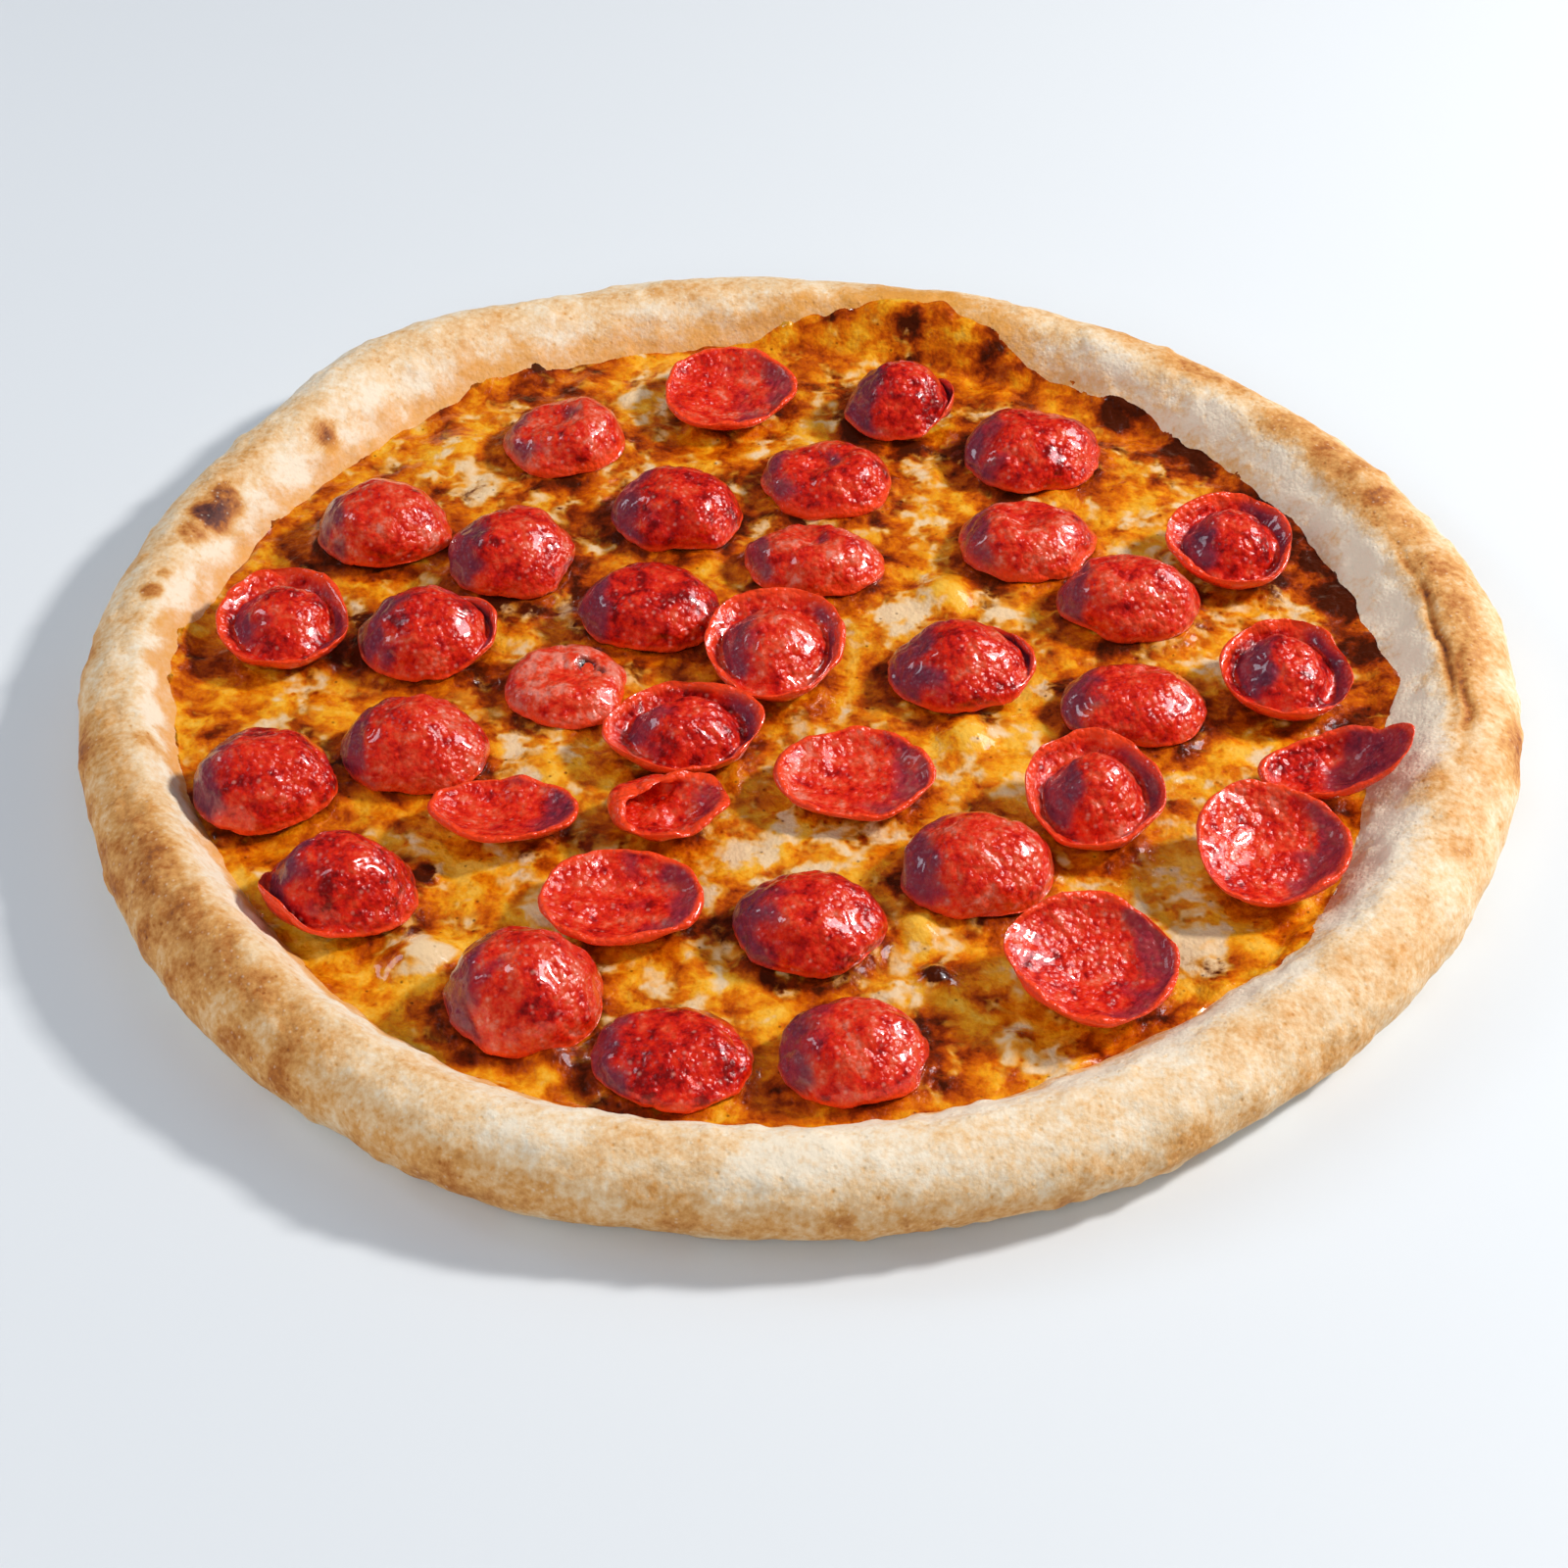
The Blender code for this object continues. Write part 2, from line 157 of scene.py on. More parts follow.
def to_quads(bm: bmesh.types.BMesh) -> None:
    """Joins the triangles of a mesh into quads where they lie nearly flat.

    Args:
        bm: The mesh.
    """
    limits = {"angle_face_threshold": math.radians(60), "angle_shape_threshold": math.radians(70)}
    bmesh.ops.join_triangles(bm, faces=bm.faces, **limits)


def new_object(name: str, bm: bmesh.types.BMesh) -> bpy.types.Object:
    """A smooth-shaded object from a bmesh, which it frees.

    Args:
        name: The object's name.
        bm: The mesh.

    Returns:
        The object, linked to the scene.
    """
    mesh = bpy.data.meshes.new(name)
    bm.to_mesh(mesh)
    bm.free()
    for spare in ("custom_normal", "sharp_edge", "sharp_face"):
        if spare in mesh.attributes:
            mesh.attributes.remove(mesh.attributes[spare])
    mesh.materials.clear()
    thing = bpy.data.objects.new(name, mesh)
    bpy.context.scene.collection.objects.link(thing)
    return thing


def subdivide(thing: bpy.types.Object, levels: int) -> None:
    """Replaces an object's mesh by its subdivision surface.

    Args:
        thing: The object.
        levels: How many times its faces are divided.
    """
    modifier = thing.modifiers.new("Smooth", "SUBSURF")
    modifier.levels = levels
    modifier.render_levels = levels
    evaluated = thing.evaluated_get(bpy.context.evaluated_depsgraph_get())
    smoothed = bpy.data.meshes.new_from_object(evaluated)
    thing.modifiers.clear()
    coarse = thing.data
    thing.data = smoothed
    bpy.data.meshes.remove(coarse)
    smoothed.name = thing.name
    smoothed.shade_smooth()


def points_of(mesh: bpy.types.Mesh) -> np.ndarray:
    """The places of a mesh's vertices, one row each."""
    flat = np.empty(len(mesh.vertices) * 3, np.float32)
    mesh.vertices.foreach_get("co", flat)
    return flat.reshape(-1, 3).astype(float)


def normals_of(mesh: bpy.types.Mesh) -> np.ndarray:
    """The normals of a mesh's vertices, one row each."""
    flat = np.empty(len(mesh.vertices) * 3, np.float32)
    mesh.vertex_normals.foreach_get("vector", flat)
    return flat.reshape(-1, 3).astype(float)


def set_points(mesh: bpy.types.Mesh, points: np.ndarray) -> None:
    """Puts a mesh's vertices at new places."""
    mesh.vertices.foreach_set("co", points.astype(np.float32).ravel())
    mesh.update()


def read_attribute(mesh: bpy.types.Mesh, name: str) -> np.ndarray:
    """The number that each vertex keeps under a name."""
    flat = np.empty(len(mesh.vertices), np.float32)
    mesh.attributes[name].data.foreach_get("value", flat)
    return flat.astype(float)


def keep_attribute(mesh: bpy.types.Mesh, name: str, values: np.ndarray) -> None:
    """Keeps a number for each vertex under a name, for the materials.

    Args:
        mesh: The mesh.
        name: The attribute's name.
        values: A number for each vertex.
    """
    attribute = mesh.attributes.get(name) or mesh.attributes.new(name, "FLOAT", "POINT")
    attribute.data.foreach_set("value", values.astype(np.float32))


def tree_of(thing: bpy.types.Object) -> BVHTree:
    """A search tree of an object's mesh."""
    bm = bmesh.new()
    bm.from_mesh(thing.data)
    tree = BVHTree.FromBMesh(bm)
    bm.free()
    return tree


def heights_on(tree: BVHTree, plan: np.ndarray) -> np.ndarray:
    """How high a surface is over each point of a plan.

    Args:
        tree: The surface's search tree.
        plan: One row for each point, across and back, in metres.

    Returns:
        The heights in metres, and 0 where nothing is there.
    """
    down = Vector((0, 0, -1))
    hits = [tree.ray_cast(Vector((x, y, 1)), down)[0] for x, y in plan]
    return np.array([hit.z if hit else 0 for hit in hits])


# Nodes


class Graph:
    """Adds nodes to a node tree and links them."""

    def __init__(self, tree: bpy.types.NodeTree) -> None:
        """Keeps the tree that the nodes go into."""
        self.tree = tree

    def add(self, kind: str, inputs: dict | None = None, **settings) -> bpy.types.Node:
        """Adds a node.

        Args:
            kind: The node's type.
            inputs: What goes into its sockets, by name or number: values or other nodes' outputs.
            settings: The node's own properties.

        Returns:
            The node.
        """
        node = self.tree.nodes.new(kind)
        for name, value in settings.items():
            setattr(node, name, value)
        for name, value in (inputs or {}).items():
            self.feed(node.inputs[name], value)
        return node

    def feed(self, socket: bpy.types.NodeSocket, value: object) -> None:
        """Links an output to a socket, or sets the socket's own value.

        Args:
            socket: What is fed.
            value: An output socket, a number or a colour.
        """
        if isinstance(value, bpy.types.NodeSocket):
            self.tree.links.new(value, socket)
        elif isinstance(value, tuple) and socket.type == "RGBA":
            socket.default_value = (*value, 1)
        else:
            socket.default_value = value

    def math(self, operation: str, first: object, second: object = 0.0) -> bpy.types.NodeSocket:
        """The result of a sum on one or two numbers."""
        return self.add("ShaderNodeMath", {0: first, 1: second}, operation=operation).outputs[0]

    def attribute(self, name: str) -> bpy.types.NodeSocket:
        """A number that the mesh keeps at each point."""
        return self.add("ShaderNodeAttribute", attribute_name=name).outputs["Fac"]

    def place(self) -> bpy.types.NodeSocket:
        """The point's place on the object."""
        return self.add("ShaderNodeTexCoord").outputs["Object"]

    def between(self, value: object, low: object, high: object) -> bpy.types.NodeSocket:
        """A smooth rise from 0 where the value is low to 1 where it is high."""
        inputs = {"Value": value, "From Min": low, "From Max": high}
        node = self.add("ShaderNodeMapRange", inputs, interpolation_type="SMOOTHSTEP")
        return node.outputs["Result"]

    def noise(self, place: object, scale: object, detail: float = 3.0) -> bpy.types.NodeSocket:
        """Smooth noise round 0.5."""
        inputs = {"Vector": place, "Scale": scale, "Detail": detail, "Roughness": 0.6}
        return self.add("ShaderNodeTexNoise", inputs).outputs["Fac"]

    def warped(self, place: object, span: float, reach: float) -> bpy.types.NodeSocket:
        """The place, pulled about so that a pattern on it runs ragged.

        Args:
            place: The place.
            span: How large the pulls are across, in metres.
            reach: How far they go, in metres.

        Returns:
            The pulled place.
        """
        swirl = self.add("ShaderNodeTexNoise", {"Vector": place, "Scale": 1 / span, "Detail": 3.0})
        halves = {0: swirl.outputs["Color"], 1: (0.5, 0.5, 0.5)}
        centred = self.add("ShaderNodeVectorMath", halves, operation="SUBTRACT").outputs[0]
        pull = self.add("ShaderNodeVectorMath", {0: centred, "Scale": reach}, operation="SCALE").outputs[0]
        return self.add("ShaderNodeVectorMath", {0: place, 1: pull}, operation="ADD").outputs[0]

    def mix(self, share: object, first: object, second: object) -> bpy.types.NodeSocket:
        """A colour between two others."""
        node = self.add("ShaderNodeMix", data_type="RGBA", blend_type="MIX")
        for number, value in ((0, share), (6, first), (7, second)):
            self.feed(node.inputs[number], value)
        return node.outputs[2]

    def ramp(self, value: object, stops: Sequence[tuple[float, Colour]]) -> bpy.types.NodeSocket:
        """A colour read off a scale of colours.

        Args:
            value: Where on the scale, from 0 to 1.
            stops: Places on it and their colours.

        Returns:
            The colour.
        """
        node = self.add("ShaderNodeValToRGB", {"Fac": value})
        scale = node.color_ramp.elements
        while len(scale) < len(stops):
            scale.new(0.5)
        for element, (position, colour) in zip(scale, stops):
            element.position = position
            element.color = (*colour, 1)
        return node.outputs["Color"]

    def use(self, group: bpy.types.NodeTree, inputs: dict) -> bpy.types.NodeSocket:
        """Places a node group with its own values.

        Args:
            group: The group.
            inputs: What goes into its sockets, by name.

        Returns:
            Its only output.
        """
        node = self.add("ShaderNodeGroup", node_tree=group)
        for name, value in inputs.items():
            self.feed(node.inputs[name], value)
        return node.outputs[0]


def new_group(name: str, inputs: Sequence[str], output: str) -> tuple[Graph, bpy.types.Node, bpy.types.Node]:
    """Starts a node group that reads a place and some numbers, and puts out one number.

    Args:
        name: The group's name.
        inputs: The names of the numbers.
        output: The name of the result.

    Returns:
        The group's graph, its input node and its output node.
    """
    tree = bpy.data.node_groups.new(name, "ShaderNodeTree")
    tree.interface.new_socket("Place", in_out="INPUT", socket_type="NodeSocketVector")
    for label in inputs:
        tree.interface.new_socket(label, in_out="INPUT", socket_type="NodeSocketFloat")
    tree.interface.new_socket(output, in_out="OUTPUT", socket_type="NodeSocketFloat")
    graph = Graph(tree)
    return graph, graph.add("NodeGroupInput"), graph.add("NodeGroupOutput")


class Effects:
    """The effects that more than one finish uses, each a node group."""

    def __init__(self) -> None:
        """Builds the groups."""
        self.mottle = self.make_mottle()
        self.specks = self.make_specks()
        self.skin = self.make_skin()

    def make_mottle(self) -> bpy.types.NodeTree:
        """Ragged patches: a number round 0 for how much is added to a scale of browning."""
        graph, source, result = new_group("mottle", ("Span", "Strength"), "Shift")
        scale = graph.math("DIVIDE", 1.0, source.outputs["Span"])
        cloud = graph.noise(source.outputs["Place"], scale, 5.0)
        shift = graph.math("MULTIPLY", graph.math("SUBTRACT", cloud, 0.5), source.outputs["Strength"])
        graph.feed(result.inputs["Shift"], shift)
        return graph.tree

    def make_specks(self) -> bpy.types.NodeTree:
        """Small round specks, some of them left out."""
        graph, source, result = new_group("specks", ("Span", "Size", "Share"), "Mask")
        scale = graph.math("DIVIDE", 1.0, source.outputs["Span"])
        inputs = {"Vector": source.outputs["Place"], "Scale": scale}
        cells = graph.add("ShaderNodeTexVoronoi", inputs)
        inside = graph.between(cells.outputs["Distance"], source.outputs["Size"], 0.0)
        pick = graph.add("ShaderNodeSeparateColor", {0: cells.outputs["Color"]})
        chosen = graph.math("LESS_THAN", pick.outputs[0], source.outputs["Share"])
        graph.feed(result.inputs["Mask"], graph.math("MULTIPLY", inside, chosen))
        return graph.tree

    def make_skin(self) -> bpy.types.NodeTree:
        """Fine lumps and round grains, as a height for a bump."""
        graph, source, result = new_group("skin", ("Span", "Grain"), "Height")
        place = source.outputs["Place"]
        scale = graph.math("DIVIDE", 1.0, source.outputs["Span"])
        lumps = graph.noise(place, scale, 3.0)
        finer = graph.math("MULTIPLY", scale, 1.6)
        cells = graph.add("ShaderNodeTexVoronoi", {"Vector": place, "Scale": finer})
        grain = graph.math("MULTIPLY", cells.outputs["Distance"], source.outputs["Grain"])
        graph.feed(result.inputs["Height"], graph.math("SUBTRACT", lumps, grain))
        return graph.tree


class Finish(Graph):
    """A material in the making."""

    def __init__(self, name: str, roughness: float, coat_roughness: float, sheen: float = 0.5) -> None:
        """Starts the material.

        Args:
            name: The material's name.
            roughness: The roughness of its surface.
            coat_roughness: The roughness of the coat over it.
            sheen: How much the surface under the coat mirrors, where 0.5 is usual.
        """
        self.material = bpy.data.materials.new(name)
        self.material.use_nodes = True
        super().__init__(self.material.node_tree)
        self.shader = self.tree.nodes["Principled BSDF"]
        self.shader.inputs["Roughness"].default_value = roughness
        self.shader.inputs["Coat Roughness"].default_value = coat_roughness
        self.shader.inputs["Specular IOR Level"].default_value = sheen

    def paint(self, colour: object) -> None:
        """Gives the material its colour."""
        self.feed(self.shader.inputs["Base Color"], colour)

    def emboss(self, height: object, depth: float, strength: float) -> None:
        """Gives the material its fine relief.

        Args:
            height: The relief, as a number over the surface.
            depth: How deep a relief of 1 is, in metres.
            strength: How much of it shows.
        """
        inputs = {"Height": height, "Distance": depth, "Strength": strength}
        bump = self.add("ShaderNodeBump", inputs)
        self.feed(self.shader.inputs["Normal"], bump.outputs["Normal"])


@dataclass(frozen=True)
class CrustFinish:
    """Baked dough: pale cream through gold to toast and char, with flour, pores and a dry skin."""

    scale: tuple = (
        (0.0, (0.88, 0.76, 0.59)),
        (0.20, (0.82, 0.57, 0.32)),
        (0.40, (0.69, 0.34, 0.100)),
        (0.60, (0.46, 0.15, 0.025)),
        (0.80, (0.16, 0.045, 0.025)),
        (1.0, (0.05, 0.016, 0.018)),
    )
    flour: Colour = (0.86, 0.76, 0.60)
    oil: Colour = (0.74, 0.32, 0.045)
    roughness: float = 0.66
    bump: float = 0.3 * MM

    def material(self, effects: Effects) -> bpy.types.Material:
        """The finish as a material.

        Args:
            effects: The shared node groups.

        Returns:
            The material.
        """
        graph = Finish("baked_crust", self.roughness, 0.4, 0.25)
        place = graph.place()
        broad = graph.use(effects.mottle, {"Place": place, "Span": 17 * MM, "Strength": 0.75})
        fine = graph.use(effects.mottle, {"Place": place, "Span": 1.7 * MM, "Strength": 0.65})
        pores = graph.use(effects.specks, {"Place": place, "Span": 1.9 * MM, "Size": 0.34, "Share": 0.35})
        bake = graph.math("ADD", graph.math("ADD", graph.attribute("bake"), broad), fine)
        bake = graph.math("ADD", bake, graph.math("MULTIPLY", pores, 0.13))
        colour = graph.ramp(bake, self.scale)
        flour = graph.use(effects.specks, {"Place": place, "Span": 1.3 * MM, "Size": 0.36, "Share": 0.3})
        colour = graph.mix(graph.math("MULTIPLY", flour, 0.4), colour, self.flour)
        soaked = graph.math("ADD", graph.attribute("oil"), graph.math("MULTIPLY", broad, 1.2))
        soaked = graph.between(graph.math("ADD", soaked, fine), 0.2, 1.15)
        graph.paint(graph.mix(graph.math("MULTIPLY", soaked, 0.8), colour, self.oil))
        height = graph.use(effects.skin, {"Place": place, "Span": 1.6 * MM, "Grain": 0.4})
        height = graph.math("SUBTRACT", height, graph.math("MULTIPLY", pores, 0.5))
        height = graph.math("ADD", height, graph.math("MULTIPLY", flour, 0.3))
        graph.emboss(height, self.bump, 0.8)
        return graph.material


@dataclass(frozen=True)
class CheeseFinish:
    """Baked cheese: cream lace, gold, orange oil, amber and dark brown, all glossy."""

    scale: tuple = (
        (0.08, (0.88, 0.48, 0.055)),
        (0.24, (0.84, 0.34, 0.009)),
        (0.41, (0.68, 0.160, 0.001)),
        (0.56, (0.46, 0.070, 0.0005)),
        (0.71, (0.22, 0.022, 0.0005)),
        (0.88, (0.06, 0.008, 0.001)),
    )
    cream: Colour = (0.80, 0.60, 0.37)
    fringe: Colour = (0.84, 0.42, 0.030)
    roughness: float = 0.30
    bump: float = 0.42 * MM

    def material(self, effects: Effects) -> bpy.types.Material:
        """The finish as a material.

        Args:
            effects: The shared node groups.

        Returns:
            The material.
        """
        graph = Finish("baked_cheese", self.roughness, 0.07, 0.08)
        place = graph.place()
        ragged = graph.warped(place, 9 * MM, 6 * MM)
        broad = graph.use(effects.mottle, {"Place": ragged, "Span": 9 * MM, "Strength": 1.9})
        fine = graph.use(effects.mottle, {"Place": place, "Span": 3.0 * MM, "Strength": 0.35})
        holes = graph.use(effects.specks, {"Place": place, "Span": 2.2 * MM, "Size": 0.40, "Share": 0.4})
        bake = graph.math("ADD", graph.math("ADD", graph.attribute("bake"), broad), fine)
        bake = graph.math("ADD", bake, graph.math("MULTIPLY", holes, 0.10))
        web = graph.noise(ragged, 1 / (6.5 * MM), 2.0)
        web = graph.math("ADD", web, graph.attribute("lace"))
        web = graph.math("SUBTRACT", web, graph.math("MULTIPLY", holes, 0.08))
        unburnt = graph.between(bake, 0.88, 0.56)
        gold = graph.math("MULTIPLY", graph.between(web, 0.48, 0.66), 0.75)
        gold = graph.math("MULTIPLY", gold, unburnt)
        colour = graph.mix(gold, graph.ramp(bake, self.scale), self.fringe)
        lace = graph.math("MULTIPLY", graph.between(web, 0.57, 0.73), unburnt)
        colour = graph.mix(graph.math("MULTIPLY", lace, 0.9), colour, self.cream)
        crumbs = graph.use(effects.specks, {"Place": place, "Span": 3.2 * MM, "Size": 0.17, "Share": 0.4})
        graph.paint(graph.mix(graph.math("MULTIPLY", crumbs, 0.85), colour, self.scale[5][1]))
        coat = graph.math("SUBTRACT", 0.6, graph.math("MULTIPLY", lace, 0.2))
        graph.feed(graph.shader.inputs["Coat Weight"], coat)
        height = graph.use(effects.skin, {"Place": place, "Span": 1.7 * MM, "Grain": 0.4})
        height = graph.math("SUBTRACT", height, graph.math("MULTIPLY", holes, 0.4))
        graph.emboss(height, self.bump, 0.8)
        return graph.material


@dataclass(frozen=True)
class PepperoniFinish:
    """Baked pepperoni: wet deep red with a pinkish grain, pale fat, a bright rim, and painted shade on the sides
    that face left.
    """

    scale: tuple = (
        (0.33, (0.22, 0.001, 0.001)),
        (0.44, (0.52, 0.004, 0.001)),
        (0.56, (0.74, 0.019, 0.002)),
        (0.69, (0.78, 0.070, 0.022)),
        (0.84, (0.80, 0.22, 0.155)),
    )
    fat: Colour = (0.88, 0.42, 0.33)
    rim: Colour = (0.92, 0.058, 0.008)
    # Painted shade: the dark purple-grey put on the sides of the slices that face left, away from the key lamp;
    # its cool hue is a painted sheen on the shaded side.
    painted_shade_colour: Colour = (0.118, 0.027, 0.058)
    charred: Colour = (0.018, 0.008, 0.010)
    roughness: float = 0.32
    bump: float = 0.42 * MM

    def material(self, effects: Effects) -> bpy.types.Material:
        """The finish as a material.

        Args:
            effects: The shared node groups.

        Returns:
            The material.
        """
        graph = Finish("baked_pepperoni", self.roughness, 0.08, 0.3)
        place = graph.place()
        broad = graph.use(effects.mottle, {"Place": place, "Span": 4.5 * MM, "Strength": 1.0})
        grain = graph.use(effects.mottle, {"Place": place, "Span": 1.8 * MM, "Strength": 0.6})
        shade = graph.math("ADD", graph.math("ADD", broad, grain), graph.attribute("tone"))
        colour = graph.ramp(shade, self.scale)
        fat = graph.use(effects.specks, {"Place": place, "Span": 1.7 * MM, "Size": 0.40, "Share": 0.3})
        colour = graph.mix(graph.math("MULTIPLY", fat, 0.45), colour, self.fat)
        rim = graph.between(graph.attribute("reach"), 0.86, 0.98)
        colour = graph.mix(graph.math("MULTIPLY", rim, 0.9), colour, self.rim)
        # Painted shade: the slices are darkened where they face left, away from the key lamp, broken up by the
        # grain.
        painted_shade = graph.math("ADD", graph.attribute("painted_shade"), graph.math("MULTIPLY", grain, 0.7))
        painted_shade = graph.math("MULTIPLY", graph.between(painted_shade, 0.02, 0.85), graph.attribute("painted_shade_most"))
        colour = graph.mix(painted_shade, colour, self.painted_shade_colour)
        graph.paint(graph.mix(graph.attribute("char"), colour, self.charred))
        wet = graph.math("MULTIPLY", graph.between(shade, 0.1, 0.6), graph.attribute("wet"))
        graph.feed(graph.shader.inputs["Coat Weight"], wet)
        height = graph.use(effects.skin, {"Place": place, "Span": 2.2 * MM, "Grain": 0.95})
        graph.emboss(height, self.bump, 1.0)
        return graph.material


@dataclass(frozen=True)
class FloorFinish:
    """The plain pale table top."""

    colour: Colour = (0.76, 0.80, 0.84)
    roughness: float = 0.6

    def material(self) -> bpy.types.Material:
        """The finish as a material."""
        graph = Finish("pale_floor", self.roughness, 0.5)
        graph.paint(self.colour)
        return graph.material


# The pizza


@dataclass(frozen=True)
class RimMark:
    """A browned place on the rim: degrees round from +X, degrees up from the outer side over the crest,
    how far it spreads both ways in degrees, and how much it is browned."""

    around: float
    over: float
    spread_around: float
    spread_over: float
    amount: float


@dataclass(frozen=True)
class Spill:
    """A place where the cheese ran further up the rim: degrees round from +X, how wide in degrees and how far."""

    around: float
    spread: float
    reach: float


EDGE_STEPS = 96
EDGE_RADIUS = 130 * MM
SPILLS = (
    Spill(80, 13, 7 * MM),
    Spill(122, 5, 2.5 * MM),
    Spill(178, 5, 3 * MM),
    Spill(-42, 4, 3 * MM),
    Spill(-112, 6, 2 * MM),
)


def cheese_reach(angle: np.ndarray) -> np.ndarray:
    """How far from the middle the cheese's edge is: the CAD outline with its spills, ragged.

    Args:
        angle: The way from the middle, in radians round from +X.

    Returns:
        The distances in metres.
    """
    points = points_of(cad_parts["cheese"].data)
    radius = np.hypot(points[:, 0], points[:, 1])
    turn = np.arctan2(points[:, 1], points[:, 0]) / math.tau * EDGE_STEPS
    steps = np.round(turn).astype(int) % EDGE_STEPS
    outline = np.array([radius[steps == step].max() for step in range(EDGE_STEPS)])
    spoke = (angle / math.tau * EDGE_STEPS) % EDGE_STEPS
    low = np.floor(spoke).astype(int) % EDGE_STEPS
    edge = outline[low] + (outline[(low + 1) % EDGE_STEPS] - outline[low]) * (spoke - np.floor(spoke))
    circle = np.column_stack((np.cos(angle), np.sin(angle), 0 * angle)) * EDGE_RADIUS
    edge += 1.4 * MM * wander(circle, 13 * MM, (3, 3, 3)) + 0.7 * MM * wander(circle, 5 * MM, (6, 1, 3))
    for spill in SPILLS:
        off = ((np.degrees(angle) - spill.around + 180) % 360 - 180) / spill.spread
        edge += spill.reach * np.exp(-(off**4)) * (1 + 0.5 * wander(circle, 6 * MM, (1, 8, 3)))
    return edge


@dataclass
class Crust:
    """The dough: a base with a puffed rim, pulled into shape by hand."""

    levels: int = 3
    crest_radius: float = 142.5 * MM
    widest_height: float = 9 * MM
    lump: float = 0.75 * MM
    lump_span: float = 13 * MM
    blister: float = 0.45 * MM
    blister_span: float = 7 * MM
    pore: float = 0.16 * MM
    pore_span: float = 2.6 * MM
    stain_width: float = 10 * MM
    marks: tuple = (
        RimMark(214, 68, 17, 36, 0.44),
        RimMark(28, 95, 18, 26, 0.27),
        RimMark(0, 55, 46, 40, 0.27),
        RimMark(8, 150, 40, 26, -0.20),
        RimMark(180, 140, 34, 26, -0.10),
        RimMark(188, 12, 26, 28, 0.32),
        RimMark(150, 75, 24, 22, 0.12),
        RimMark(60, 95, 12, 20, 0.12),
        RimMark(108, 92, 12, 22, 0.12),
        RimMark(80, 128, 12, 22, 0.14),
        RimMark(255, -4, 38, 26, 0.36),
        RimMark(-60, 0, 22, 22, 0.12),
        RimMark(-10.3, 22, 2.2, 14, 0.38),
        RimMark(160, 100, 6.5, 22, 0.22),
    )
    creases: tuple = (
        RimMark(3, 102, 8, 4, 0.36),
        RimMark(-7, 88, 4, 4, 0.30),
        RimMark(143, 128, 4, 6, 0.16),
        RimMark(196, 128, 3, 9, 0.16),
    )
    crease_depth: float = 2.4 * MM
    burns: tuple = (
        Patch(-132, 47, 4.6, 0.55),
        Patch(-129, 53, 4.0, 0.40),
        Patch(-135, 40, 3.6, 0.35),
        Patch(-110, 81, 3.2, 0.42),
        Patch(-141, 19, 2.6, 0.42),
        Patch(-139, 25, 1.8, 0.30),
        Patch(126, -42, 7.0, 0.24),
        Patch(-134.5, -30, 3.5, 0.26),
    )

    def build(self) -> bpy.types.Object:
        """Makes the crust from the CAD dough.

        Returns:
            The crust, with a number for how baked it is at each point.
        """
        bm = merged_copy("dough")
        bmesh.ops.dissolve_limit(bm, angle_limit=math.radians(1), verts=bm.verts, edges=bm.edges)
        to_quads(bm)
        thing = new_object("crust", bm)
        subdivide(thing, self.levels)
        self.add_relief(thing.data)
        self.keep_bake(thing.data)
        return thing

    def add_relief(self, mesh: bpy.types.Mesh) -> None:
        """Raises lumps, blisters and pores on the rim, and leaves the underside flat.

        Args:
            mesh: The crust's mesh.
        """
        points, normals = points_of(mesh), normals_of(mesh)
        free = smooth(0.3 * MM, 3 * MM, points[:, 2]) * smooth(118 * MM, 124 * MM, np.hypot(*points[:, :2].T))
        relief = self.lump * wander(points, self.lump_span, (5, 1, 8))
        relief += 0.4 * self.lump * wander(points, 0.42 * self.lump_span, (2, 9, 4))
        swell = smooth(0.42, 0.12, cell_distance(points, self.blister_span, (7, 3, 1)))
        relief += self.blister * swell
        relief += self.pore * wander(points, self.pore_span, (1, 6, 2))
        relief -= self.crease_depth * self.marked(points, self.creases)
        set_points(mesh, points + normals * (free * relief)[:, None])

    def marked(self, points: np.ndarray, marks: Sequence[RimMark]) -> np.ndarray:
        """Adds up placed marks on the rim, with ragged edges.

        Args:
            points: One row for each point, in metres.
            marks: What is placed.

        Returns:
            The sum at each point.
        """
        around = np.degrees(np.arctan2(points[:, 1], points[:, 0]))
        radius = np.hypot(points[:, 0], points[:, 1])
        over = np.degrees(np.arctan2(points[:, 2] - self.widest_height, radius - self.crest_radius))
        over += 8 * wander(points, 9 * MM, (6, 4, 4))
        ragged = 1 + 0.5 * wander(points, 6 * MM, (4, 4, 4))
        total = np.zeros(len(points))
        for mark in marks:
            off_around = ((around - mark.around + 180) % 360 - 180) / mark.spread_around
            off_over = (over - mark.over) / mark.spread_over
            total += mark.amount * np.exp(-0.5 * (off_around**2 + off_over**2)) * ragged
        return total

